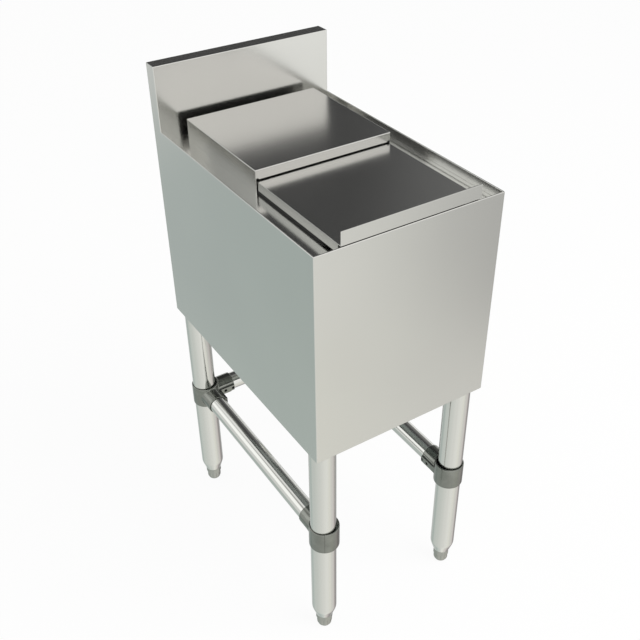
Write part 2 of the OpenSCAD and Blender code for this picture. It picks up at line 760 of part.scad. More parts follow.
// Upturned pan with a short front fascia and a slot under it for the sliding lid
module rear_cover() color([0.6, 0.6, 0.58])
    difference() {
        block([-cover_x, cover_front_y, deck_z], [cover_x, cover_back_y, cover_z]);
        block([-cover_inner_x, cover_front_y + cover_t, deck_z - over],
            [cover_inner_x, cover_inner_back_y, cover_z - cover_t]);
        block([-cover_inner_x, cover_front_y - over, deck_z - over],
            [cover_inner_x, cover_front_y + cover_t + over, cover_z - fascia_h]);
        for (side = [-1, 1])
            translate([side * (cover_inner_x - relief_r), cover_front_y - over, cover_z - fascia_h])
                rotate([-90, 0, 0]) cylinder(h = cover_t + 2 * over, r = relief_r);
    }

// Flat lid with side skirts, a hemmed front lip to pull it by and a rear stop
module front_lid() color([0.5, 0.5, 0.49]) {
    block([-lid_x, lid_front_y, lid_z], [lid_x, lid_back_y, lid_top_z]);
    block([-lid_x, lid_front_y, lid_top_z], [lid_x, lid_front_y + lid_t, lid_top_z + lip_h]);
    block([-lid_x, lid_front_y + lid_t, lid_top_z + lip_h - lip_hem_h],
        [lid_x, lid_front_y + 2 * lid_t, lid_top_z + lip_h]);
    block([-lid_inner_x, stop_y, lid_top_z], [lid_inner_x, lid_back_y, lid_top_z + stop_h]);
    for (x = [-lid_x, lid_inner_x])
        block([x, lid_front_y + lid_skirt_setback, lid_top_z - lid_skirt_h], [x + lid_t, lid_back_y, lid_z]);
}

front_panel();
side_panel(-1);  // left_side_panel
side_panel(1);  // right_side_panel
back_panel();
backsplash();
deck_frame();
coaming_seal();
ice_liner();
foam_insulation();
bottom_panel();
leg_channel(-1);  // leg_channel_left
leg_channel(1);  // leg_channel_right
leg_socket(CORNERS[0]);  // leg_socket_front_left
leg_socket(CORNERS[1]);  // leg_socket_front_right
leg_socket(CORNERS[2]);  // leg_socket_rear_left
leg_socket(CORNERS[3]);  // leg_socket_rear_right
socket_bolts();
socket_nuts();
leg_set_screws();
leg(CORNERS[0]);  // leg_front_left
leg(CORNERS[1]);  // leg_front_right
leg(CORNERS[2]);  // leg_rear_left
leg(CORNERS[3]);  // leg_rear_right
foot_inserts();
foot(CORNERS[0]);  // foot_front_left
foot(CORNERS[1]);  // foot_front_right
foot(CORNERS[2]);  // foot_rear_left
foot(CORNERS[3]);  // foot_rear_right
brace_clamp(CORNERS[0]);  // brace_clamp_front_left
brace_clamp(CORNERS[1]);  // brace_clamp_front_right
brace_clamp(CORNERS[2]);  // brace_clamp_rear_left
brace_clamp(CORNERS[3]);  // brace_clamp_rear_right
clamp_set_screws();
side_rail(-1);  // side_rail_left
side_rail(1);  // side_rail_right
rear_rail();
drain_body();
drain_gasket();
drain_locknut();
drain_strainer();
false_bottom();
rear_cover();
front_lid();
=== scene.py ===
from math import cos, pi, radians, sin

import bmesh
import bpy
from mathutils import Matrix, Vector


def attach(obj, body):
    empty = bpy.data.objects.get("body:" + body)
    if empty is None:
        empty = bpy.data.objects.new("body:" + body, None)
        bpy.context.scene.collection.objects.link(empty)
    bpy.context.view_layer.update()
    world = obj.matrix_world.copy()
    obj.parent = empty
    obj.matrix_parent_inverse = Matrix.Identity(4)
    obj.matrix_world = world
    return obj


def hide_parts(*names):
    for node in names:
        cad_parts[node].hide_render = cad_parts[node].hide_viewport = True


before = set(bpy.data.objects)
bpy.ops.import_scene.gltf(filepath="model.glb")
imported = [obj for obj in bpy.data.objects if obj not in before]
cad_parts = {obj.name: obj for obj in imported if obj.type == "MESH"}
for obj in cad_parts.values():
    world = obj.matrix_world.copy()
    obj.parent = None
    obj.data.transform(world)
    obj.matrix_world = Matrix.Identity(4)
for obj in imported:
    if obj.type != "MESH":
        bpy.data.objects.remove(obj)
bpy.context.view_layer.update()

scene = bpy.context.scene

# Camera
# It stands high before the front left corner and looks down along the diagonal, with the lens and
# the slight roll of the photograph.

camera_turn, camera_drop, camera_roll = radians(32.14), radians(35.72), radians(-0.78)
camera_place = (-0.6262, -0.9996, 1.3146)
camera_lens = 49.88

ahead = Vector((
    sin(camera_turn) * cos(camera_drop), cos(camera_turn) * cos(camera_drop), -sin(camera_drop)))
level = Vector((cos(camera_turn), -sin(camera_turn), 0))
above = level.cross(ahead)
across = level * cos(camera_roll) + above * sin(camera_roll)
upright = above * cos(camera_roll) - level * sin(camera_roll)
lens = bpy.data.cameras.new("camera")
lens.lens = camera_lens
camera = bpy.data.objects.new("camera", lens)
scene.collection.objects.link(camera)
camera.matrix_world = (
    Matrix.Translation(camera_place) @ Matrix((across, upright, -ahead)).transposed().to_4x4())
scene.camera = camera
scene.view_settings.view_transform = "Standard"


# Body shell
# The front, the two sides and the backsplash are stainless sheet, hemmed along the rim and the
# lower edge, welded at the corners and ground smooth, so they are one skin with rounded edges.

MM = 0.001
side_x, front_y = 152.4, -231.8
rim_z, apron_z, splash_z, splash_y = 757.5, 413.8, 859.5, 206.4
hem_x, hem_y = 150.0, -229.4
hem_round = 1.1
weld_gap, flat_angle, same_place = 0.002, radians(0.4), 0.05


def shade(red, green, blue):
    """Colour as the eye reads it, in steps of 255, as the shader's own values."""
    return tuple(((c / 255 + 0.055) / 1.055) ** 2.4 for c in (red, green, blue)) + (1,)


def cleaned(solid):
    """Joins points that coincide and leaves every flat face in one piece."""
    bmesh.ops.remove_doubles(solid, verts=solid.verts, dist=weld_gap * MM)
    bmesh.ops.dissolve_limit(solid, angle_limit=flat_angle, verts=solid.verts, edges=solid.edges)
    return solid


def merged(*names):
    """Clean copy of CAD solids."""
    solid = bmesh.new()
    for name in names:
        solid.from_mesh(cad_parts[name].data)
    return cleaned(solid)


def rounded(solid, radius, where=None, steps=3, sharper=40):
    """Rounds the sharp outer edges, or those whose middle, in millimetres, passes the rule."""
    edges = [
        e for e in solid.edges
        if e.is_manifold and e.is_convex and e.calc_face_angle(0) > radians(sharper)
        and (where is None or where((e.verts[0].co + e.verts[1].co) / 2 / MM))]
    bmesh.ops.bevel(
        solid, geom=edges, offset=radius * MM, segments=steps, profile=0.5, affect="EDGES",
        clamp_overlap=True)
    return solid


def near(value, *marks):
    """True where the value, without its sign, is at one of the marks."""
    return any(abs(abs(value) - mark) < same_place for mark in marks)


def dressed(name, mesh, body, finish, nodes=(), smooth=35):
    """Puts a finished mesh into the scene as a piece of one body, in place of CAD nodes."""
    for layer in [a.name for a in mesh.attributes if a.name == "custom_normal"]:
        mesh.attributes.remove(mesh.attributes[layer])
    mesh.name = name
    mesh.materials.clear()
    mesh.materials.append(finish)
    mesh.polygons.foreach_set("use_smooth", [True] * len(mesh.polygons))
    mesh.set_sharp_from_angle(angle=radians(smooth))
    thing = bpy.data.objects.new(name, mesh)
    scene.collection.objects.link(thing)
    even = thing.modifiers.new("even light on flats", "WEIGHTED_NORMAL")
    even.keep_sharp = True
    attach(thing, body)
    if nodes:
        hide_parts(*nodes)
    return thing


def piece(name, solid, body, finish, nodes=(), smooth=35):
    """Turns a mesh in the making into a piece of one body."""
    mesh = bpy.data.meshes.new(name)
    solid.to_mesh(mesh)
    solid.free()
    return dressed(name, mesh, body, finish, nodes, smooth)


def result_of(thing):
    """Plain mesh of an object with its modifiers applied; the object itself goes."""
    mesh = bpy.data.meshes.new_from_object(
        thing.evaluated_get(bpy.context.evaluated_depsgraph_get()))
    thing.modifiers.clear()
    bpy.data.objects.remove(thing)
    return mesh


def loose(name, solid):
    """Helper object that is only there while a mesh is made."""
    mesh = bpy.data.meshes.new(name)
    solid.to_mesh(mesh)
    solid.free()
    thing = bpy.data.objects.new(name, mesh)
    scene.collection.objects.link(thing)
    return thing


def joined(first, others):
    """One solid made of a helper object and others that touch it; all of them go."""
    for other in others:
        join = first.modifiers.new(other.name, "BOOLEAN")
        join.operation, join.solver, join.object = "UNION", "EXACT", other
    mesh = result_of(first)
    for other in others:
        bpy.data.objects.remove(other)
    solid = bmesh.new()
    solid.from_mesh(mesh)
    return solid


def welded(*names):
    """One skin made of CAD solids that lie against each other."""
    first, *others = [loose(name, merged(name)) for name in names]
    return cleaned(joined(first, others))


def node_group(name, inputs, outputs):
    """Empty shader node group with its named sockets, and its two end nodes."""
    tree = bpy.data.node_groups.new(name, "ShaderNodeTree")
    for label, kind, value in inputs:
        socket = tree.interface.new_socket(name=label, in_out="INPUT", socket_type=kind)
        socket.default_value = value
    for label in outputs:
        tree.interface.new_socket(name=label, in_out="OUTPUT", socket_type="NodeSocketFloat")
    return tree, tree.nodes.new("NodeGroupInput"), tree.nodes.new("NodeGroupOutput")


# Fine lines of the belt or brush, drawn out along the grain, the soft clouds of a rolled sheet, and
# the wider streaks of a polished tube
brushed_grain, grain_in, grain_out = node_group(
    "brushed grain",
    [("Stretch", "NodeSocketVector", (1, 1, 1)), ("Cloud scale", "NodeSocketFloat", 6)],
    ["Grain", "Cloud", "Streak"])
grain_place = brushed_grain.nodes.new("ShaderNodeTexCoord")
grain_stretch = brushed_grain.nodes.new("ShaderNodeVectorMath")
grain_stretch.operation = "MULTIPLY"
grain_lines = brushed_grain.nodes.new("ShaderNodeTexNoise")
grain_lines.inputs["Scale"].default_value = 1
grain_lines.inputs["Detail"].default_value = 4
grain_lines.inputs["Roughness"].default_value = 0.65
grain_cloud = brushed_grain.nodes.new("ShaderNodeTexNoise")
grain_cloud.inputs["Detail"].default_value = 2
grain_streak = brushed_grain.nodes.new("ShaderNodeTexNoise")
grain_streak.inputs["Scale"].default_value = 0.3
grain_streak.inputs["Detail"].default_value = 2
brushed_grain.links.new(grain_stretch.outputs[0], grain_streak.inputs["Vector"])
brushed_grain.links.new(grain_streak.outputs[0], grain_out.inputs["Streak"])
brushed_grain.links.new(grain_place.outputs["Object"], grain_stretch.inputs[0])
brushed_grain.links.new(grain_in.outputs["Stretch"], grain_stretch.inputs[1])
brushed_grain.links.new(grain_stretch.outputs[0], grain_lines.inputs["Vector"])
brushed_grain.links.new(grain_place.outputs["Object"], grain_cloud.inputs["Vector"])
brushed_grain.links.new(grain_in.outputs["Cloud scale"], grain_cloud.inputs["Scale"])
brushed_grain.links.new(grain_lines.outputs[0], grain_out.inputs["Grain"])
brushed_grain.links.new(grain_cloud.outputs[0], grain_out.inputs["Cloud"])


def finish_of(name, group, settings, tone, grain, light, dark, roughness, depth, metallic=1):
    """Material from a shared group: tone picks between two colours, grain sets gloss and bumps."""
    material = bpy.data.materials.new(name)
    material.use_nodes = True
    nodes, links = material.node_tree.nodes, material.node_tree.links
    surface = nodes["Principled BSDF"]
    surface.inputs["Metallic"].default_value = metallic
    pattern = nodes.new("ShaderNodeGroup")
    pattern.node_tree = group
    for label, value in settings.items():
        pattern.inputs[label].default_value = value
    colour = nodes.new("ShaderNodeMix")
    colour.data_type = "RGBA"
    colour.inputs[6].default_value, colour.inputs[7].default_value = dark, light
    gloss = nodes.new("ShaderNodeMapRange")
    gloss.inputs["To Min"].default_value, gloss.inputs["To Max"].default_value = roughness
    bump = nodes.new("ShaderNodeBump")
    bump.inputs["Distance"].default_value = depth * MM
    links.new(pattern.outputs[tone], colour.inputs[0])
    links.new(colour.outputs[2], surface.inputs["Base Color"])
    links.new(pattern.outputs[grain], gloss.inputs["Value"])
    links.new(gloss.outputs["Result"], surface.inputs["Roughness"])
    links.new(pattern.outputs[grain], bump.inputs["Height"])
    links.new(bump.outputs["Normal"], surface.inputs["Normal"])
    return material


def brushed_steel(
        name, stretch, light, dark, roughness=(0.18, 0.2), depth=0.00015, cloud=5, tone="Cloud"):
    """Stainless steel with a fine brushed grain."""
    return finish_of(
        name, brushed_grain, {"Stretch": stretch, "Cloud scale": cloud}, tone, "Grain",
        light, dark, roughness, depth)


shell_steel = brushed_steel(
    "satin stainless sheet", (900, 900, 30), shade(214, 214, 211), shade(206, 206, 204),
    depth=0.00006)

shell = welded("front_panel", "left_side_panel", "right_side_panel", "backsplash")
rounded(shell, hem_round, lambda m: sum((
    near(m.x, side_x, hem_x), near(m.y, -front_y, -hem_y),
    near(m.z, rim_z, splash_z, apron_z), near(m.y, splash_y) and m.z > rim_z - 1)) > 1, steps=4)
piece(
    "body_shell", shell, "cabinet", shell_steel,
    ("front_panel", "left_side_panel", "right_side_panel", "backsplash"))


# Back and bottom panels
# Plain sheet closes the back and the underside; the bottom panel is a shallow pan with its flange
# turned up inside the body, and a hole for the drain.

plain_steel = brushed_steel(
    "plain mill sheet", (40, 900, 900), shade(190, 193, 190), shade(180, 184, 182), (0.26, 0.32),
    0.0003)

piece(
    "back_panel_sheet", rounded(merged("back_panel"), radius=0.3), "cabinet",
    plain_steel, ("back_panel",))
piece(
    "bottom_pan", rounded(merged("bottom_panel"), radius=0.4), "cabinet",
    plain_steel, ("bottom_panel",))


# Ledge
# One sheet sunk below the rim, with an upturned coaming round three sides of the opening that
# carries the front lid; it is folded from stainless and welded in.

ledge_steel = brushed_steel(
    "satin stainless ledge", (900, 30, 900), shade(213, 213, 210), shade(206, 206, 203),
    (0.16, 0.18))

piece(
    "ledge_sheet", rounded(merged("deck_frame"), radius=0.45), "cabinet",
    ledge_steel, ("deck_frame",))


# Painted shade strip
# A black strip round the foot of the coaming, which fills most of the gap under the lid's skirts.
# It is painted shade: a dark sheet standing in for the shade that falls in that gap.

cast_skin, cast_in, cast_out = node_group(
    "cast skin", [("Scale", "NodeSocketFloat", 1400), ("Cloud scale", "NodeSocketFloat", 40)],
    ["Grain", "Cloud"])
cast_place = cast_skin.nodes.new("ShaderNodeTexCoord")
cast_grain = cast_skin.nodes.new("ShaderNodeTexNoise")
cast_grain.inputs["Detail"].default_value = 3
cast_cloud = cast_skin.nodes.new("ShaderNodeTexNoise")
cast_cloud.inputs["Detail"].default_value = 2
for texture, size, value in ((cast_grain, "Scale", "Grain"), (cast_cloud, "Cloud scale", "Cloud")):
    cast_skin.links.new(cast_place.outputs["Object"], texture.inputs["Vector"])
    cast_skin.links.new(cast_in.outputs[size], texture.inputs["Scale"])
    cast_skin.links.new(texture.outputs[0], cast_out.inputs[value])

# Black rubber for the drain gasket, and painted shade on the dark strip round the coaming.
rubber_and_painted_shade_finish = finish_of(
    "black rubber and painted shade", cast_skin, {"Scale": 2500, "Cloud scale": 200}, "Cloud", "Grain",
    shade(50, 50, 50), shade(40, 40, 40), (0.6, 0.75), 0.02, metallic=0)

# Painted shade: this dark strip stands where there is only the shade of the gap under the lid's
# skirts.
piece(
    "coaming_seal_strip", rounded(merged("coaming_seal"), radius=0.6), "cabinet",
    rubber_and_painted_shade_finish, ("coaming_seal",))


# Ice liner
# A deep-drawn stainless tub with coved edges and a floor that falls to the drain; its lip lies
# under the ledge.

liner_steel = brushed_steel(
    "drawn stainless tub", (120, 120, 120), shade(212, 213, 209), shade(202, 204, 201),
    (0.2, 0.32))

piece(
    "ice_liner_tub", merged("ice_liner"), "cabinet", liner_steel, ("ice_liner",),
    smooth=25)


# Foam
# Closed-cell foam fills the space between the liner and the panels. It is hidden, and only its
# finish is set here.

cell_pattern, cells_in, cells_out = node_group(
    "cells", [("Scale", "NodeSocketFloat", 900), ("Edge", "NodeSocketFloat", 0.4)],
    ["Cell", "Tone"])
cells_place = cell_pattern.nodes.new("ShaderNodeTexCoord")
cells_grid = cell_pattern.nodes.new("ShaderNodeTexVoronoi")
cells_soft = cell_pattern.nodes.new("ShaderNodeMath")
cells_soft.operation = "POWER"
cell_pattern.links.new(cells_place.outputs["Object"], cells_grid.inputs["Vector"])
cell_pattern.links.new(cells_in.outputs["Scale"], cells_grid.inputs["Scale"])
cell_pattern.links.new(cells_grid.outputs["Distance"], cells_soft.inputs[0])
cell_pattern.links.new(cells_in.outputs["Edge"], cells_soft.inputs[1])
cell_pattern.links.new(cells_soft.outputs[0], cells_out.inputs["Cell"])
cells_tone = cell_pattern.nodes.new("ShaderNodeSeparateColor")
cell_pattern.links.new(cells_grid.outputs["Color"], cells_tone.inputs["Color"])
cell_pattern.links.new(cells_tone.outputs[0], cells_out.inputs["Tone"])

foam_finish = finish_of(
    "poured foam", cell_pattern, {"Scale": 900, "Edge": 0.6}, "Tone", "Cell",
    shade(236, 224, 178), shade(222, 206, 150), (0.75, 0.95), 0.2, metallic=0)
for material_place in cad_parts["foam_insulation"].material_slots:
    material_place.material = foam_finish


# Rear cover
# An upturned stainless pan over the rear half of the opening. Its short front face ends above the
# slot for the lid, with round relief notches where the bends meet.

cover_x, cover_front_y, cover_back_y, cover_z, cover_round = 114.4, -23.3, 190.3, 776.0, 1.4
lid_steel = brushed_steel(
    "satin stainless lid", (900, 30, 900), shade(213, 213, 210), shade(206, 206, 204), (0.2, 0.23))

cover = merged("rear_cover")
rounded(cover, cover_round, lambda m: sum((
    near(m.x, cover_x), abs(m.y - cover_front_y) < same_place, near(m.y, cover_back_y),
    near(m.z, cover_z))) > 1)
piece("rear_cover_pan", cover, "rear_cover", lid_steel, ("rear_cover",))


# Front lid
# A flat stainless sheet on the coaming, with folded side skirts, a hemmed lip at the front to pull
# it by and a small upstand at the rear that stops it under the cover.

lid_x, lid_front_y, lid_z, lip_z, lip_t = 111.9, -230.6, 759.4, 779.4, 2.0
lid_round, lip_foot_round = 0.5, 1.7

lid = merged("front_lid")
rounded(lid, lid_round, lambda m: sum((
    near(m.x, lid_x) and m.z < lip_z - 1, near(m.y, -lid_front_y) and m.z > lid_z,
    near(m.z, lip_z), near(m.z, lid_z), near(m.y, -lid_front_y - lip_t))) > 1)
rounded(
    lid, lip_foot_round, lambda m: near(m.z, lid_z - 1) and m.y < lid_front_y + 1, steps=5)
piece("front_lid_sheet", lid, "front_lid", lid_steel, ("front_lid",))


# Legs
# Stainless tubes, pushed into the sockets under the body and swaged to a narrow lower end that
# takes the foot.

leg_x, front_leg_y, rear_leg_y = 127.0, -206.4, 207.4
leg_r, leg_wall, leg_top_z, taper_z, leg_end_z, leg_end_r = 20.65, 1.5, 465.3, 50.5, 30.0, 14.25
shoulder, end_curl, end_turn_in, end_lip = 4.0, 1.4, 0.9, 0.4
corners = {
    "front_left": (-leg_x, front_leg_y), "front_right": (leg_x, front_leg_y),
    "rear_left": (-leg_x, rear_leg_y), "rear_right": (leg_x, rear_leg_y)}


def turned(rings, steps, closed=False):
    """Mesh turned about Z from rings of (radius, height); a radius may be a rule of the angle."""
    solid, rows = bmesh.new(), []
    for radius, height in rings:
        count = steps if radius else 1
        row = []
        for i in range(count):
            angle = 2 * pi * i / count
            r = radius(angle) if callable(radius) else radius
            row.append(solid.verts.new((r * cos(angle) * MM, r * sin(angle) * MM, height * MM)))
        rows.append(row)
    for low, high in zip(rows, rows[1:] + ([rows[0]] if closed else [])):
        for i in range(steps):
            j = i + 1
            loop = [low[i % len(low)], low[j % len(low)], high[j % len(high)], high[i % len(high)]]
            solid.faces.new(list(dict.fromkeys(loop)))
    bmesh.ops.recalc_face_normals(solid, faces=solid.faces)
    return solid


def bend(start, corner, end, steps=6):
    """Points of a soft bend from start to end, pulled towards a corner."""
    points = []
    for i in range(steps + 1):
        t = i / steps
        points.append(tuple(
            (1 - t) ** 2 * a + 2 * t * (1 - t) * b + t ** 2 * c
            for a, b, c in zip(start, corner, end)))
    return points


tube_steel = brushed_steel(
    "polished stainless tube", (400, 400, 3), shade(220, 221, 218), shade(206, 206, 203),
    (0.1, 0.14), 0.00006, tone="Streak")

slope = (leg_r - leg_end_r) / (taper_z - leg_end_z)
outside = (
    [(leg_r, leg_top_z)]
    + bend((leg_r, taper_z + shoulder), (leg_r, taper_z),
           (leg_r - slope * shoulder, taper_z - shoulder))
    + bend((leg_end_r + slope * end_curl, leg_end_z + end_curl), (leg_end_r, leg_end_z),
           (leg_end_r - end_turn_in, leg_end_z), steps=4))
inside = [
    (leg_end_r - leg_wall, leg_end_z + end_lip), (leg_r - leg_wall, taper_z),
    (leg_r - leg_wall, leg_top_z)]
for corner, (x, y) in corners.items():
    tube = turned(outside + inside, steps=72, closed=True)
    bmesh.ops.translate(tube, verts=tube.verts, vec=(x * MM, y * MM, 0))
    piece("tube_leg_" + corner, tube, "cabinet", tube_steel, ("leg_" + corner,))


# Rails
# Open stainless tubes between the clamps, one along each side and one across the rear, held by the
# clamps' set screws.

rail_r, rail_wall, rail_ease, rail_start, clamp_z, arm_shift = 15.875, 1.5, 0.3, 28.0, 227.0, 2.6
side_rail_steel = brushed_steel(
    "polished rail along", (400, 3, 400), shade(220, 221, 218), shade(206, 206, 203),
    (0.08, 0.1), 0.00004, tone="Streak")
rear_rail_steel = brushed_steel(
    "polished rail across", (3, 400, 400), shade(220, 221, 218), shade(206, 206, 203),
    (0.08, 0.1), 0.00004, tone="Streak")


def rail(length):
    """Rail tube along Z with its cut ends eased."""
    bore = rail_r - rail_wall
    return turned(
        [(rail_r - rail_ease, 0), (rail_r, rail_ease), (rail_r, length - rail_ease),
         (rail_r - rail_ease, length), (bore, length), (bore, 0)], steps=64, closed=True)


for side, mark in ((-1, "left"), (1, "right")):
    tube = rail(rear_leg_y - front_leg_y - 2 * rail_start)
    bmesh.ops.transform(
        tube, verts=tube.verts, space=Matrix(), matrix=Matrix.Translation(
            (side * (leg_x - arm_shift) * MM, (front_leg_y + rail_start) * MM, clamp_z * MM))
        @ Matrix.Rotation(-pi / 2, 4, "X"))
    piece(
        "side_rail_tube_" + mark, tube, "cabinet", side_rail_steel,
        ("side_rail_" + mark,))
tube = rail(2 * (leg_x - rail_start))
bmesh.ops.transform(
    tube, verts=tube.verts, space=Matrix(), matrix=Matrix.Translation(
        ((rail_start - leg_x) * MM, rear_leg_y * MM, clamp_z * MM))
    @ Matrix.Rotation(pi / 2, 4, "Y"))
piece("rear_rail_tube", tube, "cabinet", rear_rail_steel, ("rear_rail",))


# Brace clamps
# Grey die castings: a ring round the leg and a round arm for each rail, with two flat strips on
# each arm. Every edge is soft, because the metal was poured.

ring_r, ring_bore_r, ring_h, ring_shift, bore_shift = 24.4, 21.7, 41.5, 1.6, 0.9
arm_r, arm_bore_r, side_arm_end, rear_arm_end = 18.0, 16.275, 49.5, 54.0
mouth_r, mouth_deep, mouth_step, mouth_edge, rail_gap = 17.1, 2.0, 0.4, 0.2, 0.4
strip_w, strip_top, strip_root = 12.0, 21.0, 8.0
screw_d, screw_shares, hole_foot, hole_edge, past_hole = 6.0, (0.2, 0.82), 10.0, 0.3, 1.0
cast_edge, bore_edge, past_bore, voxel = 0.8, 0.5, 2.0, 0.8
seam_turn, seam_core, seam_wide, seam_tone, off_all_seams = radians(31), 0.2, 0.7, 0.6, 9.0

clamp_finish = finish_of(
    "grey die casting", cast_skin, {"Scale": 900, "Cloud scale": 60}, "Cloud", "Grain",
    shade(149, 151, 146), shade(116, 119, 114), (0.12, 0.24), 0.01)
nodes, links = clamp_finish.node_tree.nodes, clamp_finish.node_tree.links
off_seam = nodes.new("ShaderNodeAttribute")
off_seam.attribute_name = "off_seam"
seam_line = nodes.new("ShaderNodeMapRange")
seam_line.inputs["From Min"].default_value = seam_core
seam_line.inputs["From Max"].default_value = seam_wide
seam_line.inputs["To Min"].default_value = seam_tone
darker = nodes.new("ShaderNodeMix")
darker.data_type, darker.blend_type = "RGBA", "MULTIPLY"
darker.inputs[0].default_value = 1
links.new(off_seam.outputs["Fac"], seam_line.inputs["Value"])
links.new(nodes["Principled BSDF"].inputs["Base Color"].links[0].from_socket, darker.inputs[6])
links.new(seam_line.outputs["Result"], darker.inputs[7])
links.new(darker.outputs[2], nodes["Principled BSDF"].inputs["Base Color"])


def mirrored(x, y):
    """Signs that turn a leg's own axes, which point to the middle, into the body's."""
    return (1 if x < 0 else -1), (1 if y < 0 else -1)


def arms_of(x, y):
    """Each arm of a leg's clamp: where it starts, its direction, its inner side and its length."""
    mx, my = mirrored(x, y)
    forth, inward = Vector((0, my, 0)), Vector((mx, 0, 0))
    arms = [(Vector((x + mx * arm_shift, y, clamp_z)), forth, inward, side_arm_end)]
    if y > 0:
        arms.append((Vector((x, y, clamp_z)), inward, forth, rear_arm_end))
    return arms


def placed(form, part, place, direction):
    """Adds a closed part to a form, its +Z turned to a direction."""
    turn = Vector((0, 0, 1)).rotation_difference(Vector(direction)).to_matrix().to_4x4()
    bmesh.ops.transform(
        part, verts=part.verts, space=Matrix(),
        matrix=Matrix.Translation(Vector(place) * MM) @ turn)
    mesh = bpy.data.meshes.new("part")
    part.to_mesh(mesh)
    part.free()
    form.from_mesh(mesh)
    bpy.data.meshes.remove(mesh)


def arm_strip(start, axis, out, length):
    """Flat strip along one side of an arm, for its set screws."""
    solid = bmesh.new()
    for l in (0, length - 2 * cast_edge):
        for o in (strip_root, strip_top):
            for w in (-strip_w / 2, strip_w / 2):
                solid.verts.new((start + axis * l + out * o + axis.cross(out) * w) * MM)
    bmesh.ops.convex_hull(solid, input=solid.verts)
    bmesh.ops.recalc_face_normals(solid, faces=solid.faces)
    return solid


half, up = ring_h / 2, Vector((0, 0, 1))
funnel_r, funnel_end = ring_bore_r + bore_edge + past_bore, half + past_bore
screw_r, hole_deep = screw_d / 2, strip_top - hole_foot
ring_form = [
    (0, -half), (ring_r - cast_edge, -half), (ring_r, cast_edge - half),
    (ring_r, half - cast_edge), (ring_r - cast_edge, half), (0, half)]
ring_bore = [
    (0, -funnel_end), (funnel_r, -funnel_end), (ring_bore_r, bore_edge - half),
    (ring_bore_r, half - bore_edge), (funnel_r, funnel_end), (0, funnel_end)]
screw_hole = [
    (0, 0), (screw_r, 0), (screw_r, hole_deep - hole_edge),
    (screw_r + hole_edge + past_hole, hole_deep + past_hole), (0, hole_deep + past_hole)]
for corner, (x, y) in corners.items():
    mx, my = mirrored(x, y)
    centre = Vector((x + mx * ring_shift, y, clamp_z))
    form, bores = bmesh.new(), bmesh.new()
    placed(form, turned(ring_form, steps=96), centre, up)
    placed(bores, turned(ring_bore, steps=96), (x + mx * bore_shift, y, clamp_z), up)
    for start, axis, inner, length in arms_of(x, y):
        bore_foot, mouth_foot = rail_start - rail_gap, length - mouth_deep
        mouth_end, bore_end = length - mouth_edge, length - mouth_edge + past_bore
        arm_form = [
            (0, 0), (half - cast_edge, 0), (arm_r, rail_start), (arm_r, length - cast_edge),
            (arm_r - cast_edge, length), (0, length)]
        arm_bore = [
            (0, bore_foot), (arm_bore_r, bore_foot), (arm_bore_r, mouth_foot),
            (mouth_r, mouth_foot + mouth_step), (mouth_r, mouth_end),
            (mouth_r + past_bore, bore_end), (0, bore_end)]
        placed(form, turned(arm_form, steps=72), start, axis)
        placed(bores, turned(arm_bore, steps=72), start, axis)
        for out in (inner, -up):
            placed(form, arm_strip(start, axis, out, length), (0, 0, 0), up)
            for share in screw_shares:
                reach = rail_start + (length - rail_start) * share
                placed(
                    bores, turned(screw_hole, steps=24),
                    start + axis * reach + out * hole_foot, out)
    rough_form, bores = loose("clamp", form), loose("bores", bores)
    fuse = rough_form.modifiers.new("fuse", "REMESH")
    fuse.mode, fuse.voxel_size = "VOXEL", voxel * MM
    ease = rough_form.modifiers.new("ease", "SMOOTH")
    ease.factor, ease.iterations = 0.5, 4
    bore = rough_form.modifiers.new("bore", "BOOLEAN")
    bore.operation, bore.solver, bore.object = "DIFFERENCE", "EXACT", bores
    casting = result_of(rough_form)
    bpy.data.objects.remove(bores)
    away = Vector((-mx * sin(seam_turn), -my * cos(seam_turn)))
    spots = [v.co.xy / MM - centre.xy for v in casting.vertices]
    casting.attributes.new("off_seam", "FLOAT", "POINT").data.foreach_set("value", [
        abs(spot.cross(away)) if spot.dot(away) > 0 else off_all_seams for spot in spots])
    dressed(
        "cast_clamp_" + corner, casting, "cabinet", clamp_finish,
        ("brace_clamp_" + corner,), smooth=40)


# Set screws, bolts and nuts
# Black set screws with a hexagon socket hold the rails in the clamps and the legs in their
# sockets; zinc-plated bolts and nuts hold the sockets' plates to the channels.

screw_sunk, leg_screw_z, boss_end = 0.7, 437.8, 26.7
bolt_d, bolt_inset, plate_w, socket_r, plate_z, nut_z = 8.0, 12.0, 80.0, 22.7, 465.3, 470.3


def hexagon(across_flats, limit=99.0):
    """Radius rule of a hexagon, cut off where a circle is smaller."""
    return lambda angle: min(limit, across_flats / 2 / cos((angle + pi / 6) % (pi / 3) - pi / 6))


def set_screw():
    """Set screw one unit across, its outer end at the origin and its body below."""
    pit = hexagon(0.5)
    return turned(
        [(0, -0.88), (0.5, -0.88), (0.5, -0.07), (0.43, 0), (hexagon(0.53), 0), (pit, -0.03),
         (pit, -0.4), (0, -0.48)], steps=24)


def bolt():
    """Bolt one unit across, with its hexagon head below the origin and its shank above."""
    flats, washer = 1.62, 0.86
    return turned(
        [(0, -0.65), (0.66, -0.65), (hexagon(flats, 0.82), -0.61), (hexagon(flats, 0.93), -0.5),
         (hexagon(flats, 0.935), -0.08), (hexagon(flats, washer), -0.03), (washer - 0.06, 0),
         (0.5, 0), (0.5, 1.6), (0.43, 1.63), (0, 1.63)], steps=24)


def nut():
    """Nut one unit across in its bore, standing on the origin."""
    flats = 1.62
    return turned(
        [(0.5, 0), (hexagon(flats, 0.84), 0), (hexagon(flats, 0.93), 0.06),
         (hexagon(flats, 0.93), 0.58), (hexagon(flats, 0.84), 0.65), (0.56, 0.65), (0.5, 0.6)],
        steps=24, closed=True)


def set_inputs(modifier, values):
    """Gives a nodes modifier its inputs by their names."""
    for socket in modifier.node_group.interface.items_tree:
        if socket.in_out == "INPUT" and socket.name in values:
            modifier[socket.identifier] = values[socket.name]


